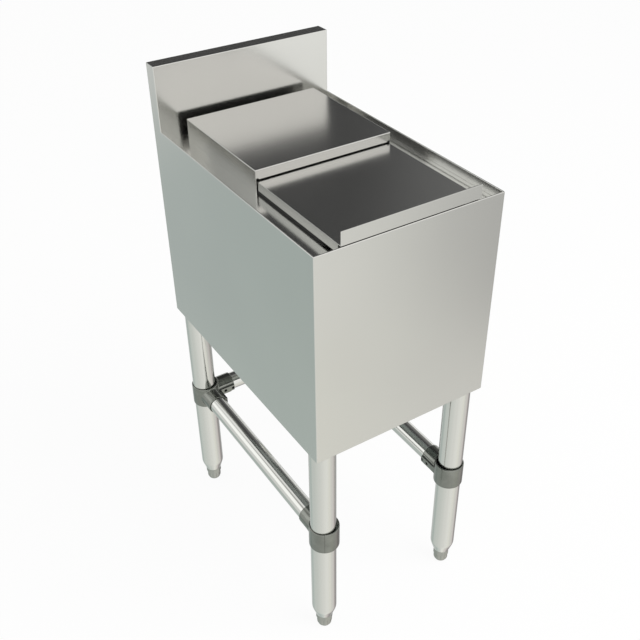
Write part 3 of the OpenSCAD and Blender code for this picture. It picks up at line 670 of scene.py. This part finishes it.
def set_out(name, part, size, places, finish, nodes):
    """Repeats a small part at each place, its +Z turned to the place's direction."""
    points = bpy.data.meshes.new(name)
    points.from_pydata([tuple(c * MM for c in place) for place, direction in places], [], [])
    towards = points.attributes.new("towards", "FLOAT_VECTOR", "POINT")
    towards.data.foreach_set("vector", [c for place, direction in places for c in direction])
    holder = bpy.data.objects.new(name, points)
    scene.collection.objects.link(holder)
    pattern = loose(name + " pattern", part)
    tree = bpy.data.node_groups.new("set out parts", "GeometryNodeTree")
    for label, kind in (
            ("Places", "NodeSocketGeometry"), ("Part", "NodeSocketObject"),
            ("Diameter", "NodeSocketFloat"), ("Finish", "NodeSocketMaterial")):
        tree.interface.new_socket(name=label, in_out="INPUT", socket_type=kind)
    tree.interface.new_socket(name="Parts", in_out="OUTPUT", socket_type="NodeSocketGeometry")
    start, end = tree.nodes.new("NodeGroupInput"), tree.nodes.new("NodeGroupOutput")
    picked = tree.nodes.new("GeometryNodeObjectInfo")
    direction = tree.nodes.new("GeometryNodeInputNamedAttribute")
    direction.data_type = "FLOAT_VECTOR"
    direction.inputs["Name"].default_value = "towards"
    turn = tree.nodes.new("FunctionNodeAlignRotationToVector")
    turn.axis = "Z"
    spread = tree.nodes.new("GeometryNodeInstanceOnPoints")
    real = tree.nodes.new("GeometryNodeRealizeInstances")
    coated = tree.nodes.new("GeometryNodeSetMaterial")
    tree.links.new(start.outputs["Part"], picked.inputs["Object"])
    tree.links.new(direction.outputs[0], turn.inputs["Vector"])
    tree.links.new(start.outputs["Places"], spread.inputs["Points"])
    tree.links.new(picked.outputs["Geometry"], spread.inputs["Instance"])
    tree.links.new(turn.outputs[0], spread.inputs["Rotation"])
    tree.links.new(start.outputs["Diameter"], spread.inputs["Scale"])
    tree.links.new(spread.outputs[0], real.inputs[0])
    tree.links.new(real.outputs[0], coated.inputs["Geometry"])
    tree.links.new(start.outputs["Finish"], coated.inputs["Material"])
    tree.links.new(coated.outputs[0], end.inputs["Parts"])
    repeat = holder.modifiers.new("set out", "NODES")
    repeat.node_group = tree
    set_inputs(repeat, {"Part": pattern, "Diameter": size, "Finish": finish})
    mesh = result_of(holder)
    bpy.data.objects.remove(pattern)
    return dressed(name, mesh, "cabinet", finish, nodes, smooth=30)


black_oxide = finish_of(
    "black oxide", cast_skin, {"Scale": 1800, "Cloud scale": 300}, "Cloud", "Grain",
    shade(58, 58, 59), shade(40, 40, 41), (0.35, 0.5), 0.01)
zinc_plate = finish_of(
    "zinc plating", cast_skin, {"Scale": 1500, "Cloud scale": 160}, "Cloud", "Grain",
    shade(196, 200, 202), shade(176, 181, 184), (0.25, 0.4), 0.006)

clamp_places = []
for x, y in corners.values():
    for start, axis, inner, length in arms_of(x, y):
        for out in (inner, Vector((0, 0, -1))):
            for share in screw_shares:
                reach = rail_start + (length - rail_start) * share
                clamp_places.append(
                    (start + axis * reach + out * (strip_top - screw_sunk), out))
set_out(
    "clamp_set_screw_row", set_screw(), screw_d, clamp_places, black_oxide,
    ("clamp_set_screws",))

leg_screw_places, bolt_places, nut_places = [], [], []
near_bolt, far_bolt = bolt_inset - socket_r, plate_w - bolt_inset - socket_r
for x, y in corners.values():
    mx, my = mirrored(x, y)
    out = Vector((mx, my, 0)).normalized()
    leg_screw_places.append((Vector((x, y, leg_screw_z)) + out * boss_end, out))
    for bx, by in ((near_bolt, far_bolt), (far_bolt, near_bolt), (far_bolt, far_bolt)):
        bolt_places.append((Vector((x + mx * bx, y + my * by, plate_z)), (0, 0, 1)))
        nut_places.append((Vector((x + mx * bx, y + my * by, nut_z)), (0, 0, 1)))
set_out(
    "leg_set_screw_row", set_screw(), bolt_d, leg_screw_places, black_oxide,
    ("leg_set_screws",))
set_out(
    "socket_bolt_row", bolt(), bolt_d, bolt_places, zinc_plate, ("socket_bolts",))
set_out("socket_nut_row", nut(), bolt_d, nut_places, zinc_plate, ("socket_nuts",))


# Channels and leg sockets
# Two galvanised channels run from front to back under the bottom panel, and carry welded steel
# sockets with ribs, one for each leg.

channel_lip_z = 481.0
galvanised_finish = finish_of(
    "galvanised steel", cell_pattern, {"Scale": 90, "Edge": 1.0}, "Tone", "Tone",
    shade(196, 200, 200), shade(166, 171, 172), (0.32, 0.48), 0.004)

for mark in ("left", "right"):
    channel = rounded(
        merged("leg_channel_" + mark), radius=0.6, where=lambda m: m.z < channel_lip_z)
    piece(
        "leg_channel_bar_" + mark, channel, "cabinet", galvanised_finish,
        ("leg_channel_" + mark,))
for corner in corners:
    piece(
        "socket_weldment_" + corner,
        rounded(merged("leg_socket_" + corner), radius=0.4, sharper=50), "cabinet",
        galvanised_finish, ("leg_socket_" + corner,))


# Feet
# Grey bullet feet that screw out to level the bin: a rolled-thread stem, an eight-sided band for
# the wrench, a fluted barrel and a round nose. The threaded inserts that hold them are hidden in
# the legs, and only their finish is set here.

foot_z, band_z, band_r, barrel_r, nose_r, tip_r = 29.7, 19.2, 14.4, 12.7, 9.7, 3.0
stem_r, stem_top, stem_edge, pitch, thread_deep, thread_rings = 6.35, 95.7, 0.4, 1.95, 0.95, 196
nose_rings, flutes, flute_deep, nose_flute_deep, flute_end_deep = 8, 8, 1.3, 0.9, 0.3
band_edge, band_nick, band_rise, band_step = 0.9, 0.15, 0.1, 2.2


def octagon(across_corners, limit):
    """Radius rule of an octagon given over its corners, cut off where a circle is smaller."""
    flat = across_corners * cos(pi / 8)
    return lambda angle: min(limit, flat / cos((angle + pi / 8) % (pi / 4) - pi / 8))


def fluted(radius, deep):
    """Radius rule of a barrel with shallow flutes."""
    return lambda angle: radius - deep * max(0, cos(flutes * angle)) ** 2


def threaded(height):
    """Radius rule of one ring of a rolled thread."""
    return lambda angle: stem_r - thread_deep * abs(2 * ((height / pitch + angle / 2 / pi) % 1) - 1)


foot_finish = finish_of(
    "grey plated foot", cast_skin, {"Scale": 1500, "Cloud scale": 80}, "Cloud", "Grain",
    shade(176, 177, 172), shade(160, 162, 157), (0.3, 0.42), 0.01)

foot_rings = [(0, 0), (tip_r * 0.5, 0), (tip_r, 0)]
for i in range(1, nose_rings + 1):
    swing = pi / 2 * i / nose_rings
    deep = nose_flute_deep * max(0, 2 * i / nose_rings - 1)
    foot_rings.append((fluted(tip_r + nose_r * sin(swing), deep), nose_r * (1 - cos(swing))))
band_rim, band_side = octagon(band_r, band_r - band_edge), octagon(band_r, band_r - band_nick)
foot_rings += [
    (fluted(barrel_r, flute_deep), nose_r + 2.0), (fluted(barrel_r, flute_deep), band_z - 2.2),
    (fluted(barrel_r, flute_end_deep), band_z - 0.4), (barrel_r + 0.4, band_z),
    (band_rim, band_z + band_rise), (band_side, band_z + band_edge),
    (band_side, foot_z - band_edge), (band_rim, foot_z - band_rise),
    (band_r - band_step, foot_z), (stem_r, foot_z)]
thread_start, thread_end = foot_z + 1.0, stem_top - 1.5
for i in range(thread_rings + 1):
    height = thread_start + (thread_end - thread_start) * i / thread_rings
    foot_rings.append((threaded(height), height))
foot_rings += [
    (stem_r - thread_deep - stem_edge, stem_top - stem_edge), (stem_r - 2, stem_top),
    (0, stem_top)]
for corner, (x, y) in corners.items():
    bullet = turned(foot_rings, steps=64)
    bmesh.ops.translate(bullet, verts=bullet.verts, vec=(x * MM, y * MM, 0))
    piece(
        "bullet_foot_" + corner, bullet, "foot_" + corner, foot_finish,
        ("foot_" + corner,), smooth=38)
for material_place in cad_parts["foot_inserts"].material_slots:
    material_place.material = zinc_plate


# Drain
# A spun stainless flange and cup with a threaded outlet, drawn down on a rubber gasket by a brass
# locknut, with a loose strainer disc in the cup.

drain_steel = brushed_steel(
    "spun stainless drain", (300, 300, 300), shade(208, 209, 205), shade(198, 199, 196),
    (0.18, 0.28))
brass_finish = finish_of(
    "cast brass", cast_skin, {"Scale": 1200, "Cloud scale": 90}, "Cloud", "Grain",
    shade(206, 178, 112), shade(186, 156, 92), (0.28, 0.42), 0.01)

for name, node, radius, sharper, slot, finish in (
        ("drain_flange_and_cup", "drain_body", 0.35, 50, "satin_steel", drain_steel),
        ("drain_strainer_disc", "drain_strainer", 0.15, 60, "satin_steel", drain_steel),
        ("drain_gasket_ring", "drain_gasket", 0.4, 50, "rubber_black", rubber_and_painted_shade_finish),
        ("drain_lock_nut", "drain_locknut", 0.5, 44, "nut_brass", brass_finish)):
    piece(
        name, rounded(merged(node), radius, sharper=sharper), "cabinet", finish, (node,))


# False bottom
# A perforated stainless plate that keeps the ice out of the melt water; its two long sides are
# turned down and stand in the liner's coves. The holes are punched in even rows.

plate_x, plate_front_y, plate_rear_y, plate_corner = 105.9, -189.6, 203.4, 12.8
plate_low, plate_high, plate_t, corner_steps = 537.43, 538.93, 1.5, 8
wall_foot, wall_sunk, wall_front_y, wall_rear_y = 520.93, 0.4, -164.6, 178.4
hole_d, hole_pitch, hole_columns, hole_rows, holes_y = 9.5, 19.0, 10, 19, 6.9
punch_sides, punch_long = 20, 6.0


def sheet_block(outline, low, high):
    """Straight block of sheet over an outline."""
    solid = bmesh.new()
    foot = solid.faces.new([solid.verts.new((x * MM, y * MM, low * MM)) for x, y in outline])
    top = bmesh.ops.extrude_face_region(solid, geom=[foot])["geom"]
    bmesh.ops.translate(
        solid, verts=[v for v in top if isinstance(v, bmesh.types.BMVert)],
        vec=(0, 0, (high - low) * MM))
    bmesh.ops.recalc_face_normals(solid, faces=solid.faces)
    return solid


plate_outline = []
for cx, cy, start in (
        (plate_x, plate_rear_y, 0), (-plate_x, plate_rear_y, 90),
        (-plate_x, plate_front_y, 180), (plate_x, plate_front_y, 270)):
    middle = Vector((
        cx - plate_corner * (1 if cx > 0 else -1), cy - plate_corner * (1 if cy > 0 else -1)))
    for i in range(corner_steps + 1):
        swing = radians(start + 90 * i / corner_steps)
        plate_outline.append(middle + plate_corner * Vector((cos(swing), sin(swing))))
walls = [
    loose("plate wall", sheet_block(
        [(a, wall_front_y), (b, wall_front_y), (b, wall_rear_y), (a, wall_rear_y)],
        wall_foot, plate_high - wall_sunk))
    for a, b in ((-plate_x, plate_t - plate_x), (plate_x - plate_t, plate_x))]
folded = joined(loose("plate", sheet_block(plate_outline, plate_low, plate_high)), walls)
bmesh.ops.dissolve_limit(folded, angle_limit=flat_angle, verts=folded.verts, edges=folded.edges)
rounded(folded, radius=0.4, steps=2)
blank = loose("plate blank", folded)

punch = bpy.data.node_groups.new("punch rows of holes", "GeometryNodeTree")
for label, kind in (
        ("Blank", "NodeSocketGeometry"), ("Columns", "NodeSocketInt"), ("Rows", "NodeSocketInt"),
        ("Pitch", "NodeSocketFloat"), ("Diameter", "NodeSocketFloat"),
        ("Middle", "NodeSocketVector"), ("Finish", "NodeSocketMaterial")):
    punch.interface.new_socket(name=label, in_out="INPUT", socket_type=kind)
punch.interface.new_socket(name="Plate", in_out="OUTPUT", socket_type="NodeSocketGeometry")
punch_in, punch_out = punch.nodes.new("NodeGroupInput"), punch.nodes.new("NodeGroupOutput")
rows = punch.nodes.new("GeometryNodeMeshGrid")
for count, size, label in (("Columns", "Size X", "Vertices X"), ("Rows", "Size Y", "Vertices Y")):
    gaps = punch.nodes.new("ShaderNodeMath")
    gaps.operation = "SUBTRACT"
    gaps.inputs[1].default_value = 1
    span = punch.nodes.new("ShaderNodeMath")
    span.operation = "MULTIPLY"
    punch.links.new(punch_in.outputs[count], gaps.inputs[0])
    punch.links.new(gaps.outputs[0], span.inputs[0])
    punch.links.new(punch_in.outputs["Pitch"], span.inputs[1])
    punch.links.new(span.outputs[0], rows.inputs[size])
    punch.links.new(punch_in.outputs[count], rows.inputs[label])
centred = punch.nodes.new("GeometryNodeTransform")
tool = punch.nodes.new("GeometryNodeMeshCylinder")
tool.inputs["Vertices"].default_value = punch_sides
tool.inputs["Depth"].default_value = punch_long * MM
half_of = punch.nodes.new("ShaderNodeMath")
half_of.operation = "MULTIPLY"
half_of.inputs[1].default_value = 0.5
tools = punch.nodes.new("GeometryNodeInstanceOnPoints")
solid_tools = punch.nodes.new("GeometryNodeRealizeInstances")
cut = punch.nodes.new("GeometryNodeMeshBoolean")
cut.operation = "DIFFERENCE"
real = punch.nodes.new("GeometryNodeRealizeInstances")
coated = punch.nodes.new("GeometryNodeSetMaterial")
punch.links.new(rows.outputs["Mesh"], centred.inputs["Geometry"])
punch.links.new(punch_in.outputs["Middle"], centred.inputs["Translation"])
punch.links.new(punch_in.outputs["Diameter"], half_of.inputs[0])
punch.links.new(half_of.outputs[0], tool.inputs["Radius"])
punch.links.new(centred.outputs[0], tools.inputs["Points"])
punch.links.new(tool.outputs["Mesh"], tools.inputs["Instance"])
punch.links.new(tools.outputs[0], solid_tools.inputs[0])
punch.links.new(punch_in.outputs["Blank"], cut.inputs[0])
punch.links.new(solid_tools.outputs[0], cut.inputs[1])
punch.links.new(cut.outputs[0], real.inputs[0])
punch.links.new(real.outputs[0], coated.inputs["Geometry"])
punch.links.new(punch_in.outputs["Finish"], coated.inputs["Material"])
punch.links.new(coated.outputs[0], punch_out.inputs["Plate"])
punched = blank.modifiers.new("punch", "NODES")
punched.node_group = punch
set_inputs(punched, {
    "Columns": hole_columns, "Rows": hole_rows, "Pitch": hole_pitch * MM, "Diameter": hole_d * MM,
    "Middle": (0.0, holes_y * MM, (plate_low + plate_high) / 2 * MM), "Finish": liner_steel})
dressed(
    "false_bottom_plate", result_of(blank), "false_bottom", liner_steel,
    ("false_bottom",), smooth=30)


# Studio
# A plain white floor and a soft lamp from the front right. What the polished sheet mirrors is a
# white studio whose tones change with the direction: bright in front, greenish grey behind on the
# left, a dark opening on the right and a dark ceiling behind.

floor_half, floor_white, front_bearing = 12.0, 0.93, 0.75
lit_room, plain_white = (0.65, 0.65, 0.65, 1), (1, 1, 1, 1)

floor = bmesh.new()
bmesh.ops.create_grid(floor, x_segments=2, y_segments=2, size=floor_half)
floor_sheet = loose("floor", floor)
floor_paint = bpy.data.materials.new("pale floor")
floor_paint.use_nodes = True
nodes, links = floor_paint.node_tree.nodes, floor_paint.node_tree.links
nodes.remove(nodes["Principled BSDF"])
matt = nodes.new("ShaderNodeBsdfDiffuse")
matt.inputs["Color"].default_value = (0.95, 0.95, 0.94, 1)
glow = nodes.new("ShaderNodeEmission")
glow.inputs["Color"].default_value = plain_white
glow.inputs["Strength"].default_value = 1
path = nodes.new("ShaderNodeLightPath")
sight_share = nodes.new("ShaderNodeMath")
sight_share.operation = "MULTIPLY"
sight_share.inputs[1].default_value = floor_white
blend = nodes.new("ShaderNodeMixShader")
links.new(path.outputs["Is Camera Ray"], sight_share.inputs[0])
links.new(sight_share.outputs[0], blend.inputs[0])
links.new(matt.outputs[0], blend.inputs[1])
links.new(glow.outputs[0], blend.inputs[2])
links.new(blend.outputs[0], nodes["Material Output"].inputs["Surface"])
floor_sheet.data.materials.append(floor_paint)
floor_sheet.visible_glossy = False

world = bpy.data.worlds.new("studio")
scene.world = world
world.use_nodes = True
nodes, links = world.node_tree.nodes, world.node_tree.links
sky = nodes["Background"]
sky.inputs["Strength"].default_value = 1
direction = nodes.new("ShaderNodeTexCoord")
parts = nodes.new("ShaderNodeSeparateXYZ")
turn_round = nodes.new("ShaderNodeTexGradient")
turn_round.gradient_type = "RADIAL"
links.new(direction.outputs["Generated"], parts.inputs[0])
links.new(direction.outputs["Generated"], turn_round.inputs["Vector"])


def mix_of(factor, low, high):
    """Colour between two, each a fixed colour or another node's output."""
    blend = nodes.new("ShaderNodeMix")
    blend.data_type = "RGBA"
    links.new(factor, blend.inputs[0])
    for socket, tone in ((blend.inputs[6], low), (blend.inputs[7], high)):
        if isinstance(tone, tuple):
            socket.default_value = tone
        else:
            links.new(tone, socket)
    return blend.outputs[2]


def round_horizon(left, tones):
    """Tones round the horizon by bearing; the first one is due left, where the ramp closes."""
    ramp = nodes.new("ShaderNodeValToRGB")
    stops = ramp.color_ramp.elements
    stops[0].color = stops[1].color = (*left, 1)
    for bearing, tone in tones:
        stops.new((front_bearing - bearing / 360) % 1).color = (*tone, 1)
    links.new(turn_round.outputs["Fac"], ramp.inputs[0])
    return ramp.outputs["Color"]


def above_height(low, high):
    """Soft step from 0 to 1 between two heights of the view's direction."""
    step = nodes.new("ShaderNodeMapRange")
    step.interpolation_type = "SMOOTHSTEP"
    step.inputs["From Min"].default_value, step.inputs["From Max"].default_value = low, high
    links.new(parts.outputs["Z"], step.inputs["Value"])
    return step.outputs["Result"]


near_floor = round_horizon((0.77, 0.8, 0.76), (
    (0, (0.64, 0.67, 0.65)), (60, (0.5, 0.5, 0.49)), (88, (0.34, 0.31, 0.31)),
    (112, (0.8, 0.755, 0.73)), (138, (0.85, 0.845, 0.8)), (143, (0.89, 0.885, 0.83)),
    (150, (0.975, 0.965, 0.885)), (176, (1.02, 1.02, 0.97)), (212, (0.92, 0.92, 0.88)),
    (309, (0.7, 0.745, 0.71)), (330, (0.505, 0.575, 0.545))))
far_floor = round_horizon((0.77, 0.8, 0.76), (
    (0, (0.58, 0.61, 0.6)), (60, (0.45, 0.45, 0.44)), (90, (0.34, 0.31, 0.3)),
    (126, (0.48, 0.47, 0.46)), (138, (0.61, 0.61, 0.59)), (143, (0.9, 0.9, 0.85)),
    (150, (1.0, 0.99, 0.95)), (180, (1.02, 1.02, 0.98)), (328, (0.49, 0.56, 0.535))))
horizon = round_horizon((1.0, 1.0, 0.98), (
    (0, (0.8, 0.81, 0.79)), (20, (0.95, 0.95, 0.93)), (46, (1.1, 1.1, 1.08)),
    (90, (0.8, 0.8, 0.78)), (125, (0.9, 0.9, 0.87)), (150, (1.15, 1.15, 1.12)),
    (200, (1.1, 1.1, 1.06)), (300, (0.88, 0.89, 0.86)), (325, (0.84, 0.85, 0.83)),
    (339, (0.77, 0.78, 0.76))))
ceiling = round_horizon((1.25, 1.25, 1.22), (
    (0, (0.41, 0.42, 0.41)), (16, (0.07, 0.07, 0.07)), (36, (0.06, 0.06, 0.06)),
    (40, (0.15, 0.15, 0.15)), (56, (0.28, 0.28, 0.27)), (85, (0.6, 0.6, 0.58)),
    (120, (1.0, 1.0, 0.98)), (150, (1.26, 1.23, 1.2)), (200, (1.15, 1.15, 1.12)),
    (319, (1.35, 1.35, 1.32)), (326, (0.9, 0.91, 0.89)), (332, (0.64, 0.65, 0.63)),
    (336, (0.4, 0.41, 0.4)), (345, (0.42, 0.43, 0.42))))
overhead = round_horizon((0.7, 0.7, 0.68), (
    (0, (0.4, 0.41, 0.4)), (16, (0.09, 0.09, 0.09)), (36, (0.085, 0.085, 0.085)),
    (42, (0.14, 0.14, 0.14)), (56, (0.25, 0.25, 0.24)), (85, (0.6, 0.6, 0.58)),
    (120, (1.0, 1.0, 0.98)), (150, (1.2, 1.18, 1.15)), (200, (1.1, 1.1, 1.08)),
    (325, (0.5, 0.5, 0.48)), (331, (1.05, 1.05, 1.03)), (350, (1.05, 1.05, 1.03))))
path = nodes.new("ShaderNodeLightPath")
mirror = nodes.new("ShaderNodeMath")
mirror.operation = "MAXIMUM"
links.new(path.outputs["Is Glossy Ray"], mirror.inputs[0])
links.new(path.outputs["Is Transmission Ray"], mirror.inputs[1])
mirrored_room = mix_of(above_height(-0.63, -0.53), near_floor, far_floor)
mirrored_room = mix_of(above_height(-0.45, -0.28), mirrored_room, horizon)
mirrored_room = mix_of(above_height(0.06, 0.2), mirrored_room, ceiling)
mirrored_room = mix_of(above_height(0.54, 0.62), mirrored_room, overhead)
room = mix_of(mirror.outputs[0], lit_room, mirrored_room)
links.new(mix_of(path.outputs["Is Camera Ray"], room, plain_white), sky.inputs["Color"])


def soft_box(name, place, aim, width, power):
    """Square lamp that looks from one point to another and isn't mirrored itself."""
    lamp = bpy.data.lights.new(name, "AREA")
    lamp.shape, lamp.size, lamp.energy = "SQUARE", width, power
    thing = bpy.data.objects.new(name, lamp)
    scene.collection.objects.link(thing)
    thing.visible_glossy = False
    turn = (Vector(aim) - Vector(place)).to_track_quat("-Z", "Y").to_matrix().to_4x4()
    thing.matrix_world = Matrix.Translation(place) @ turn


soft_box("front right lamp", (1.2, -2.0, 2.7), (0.1, -0.2, 0.3), 2.4, 60)
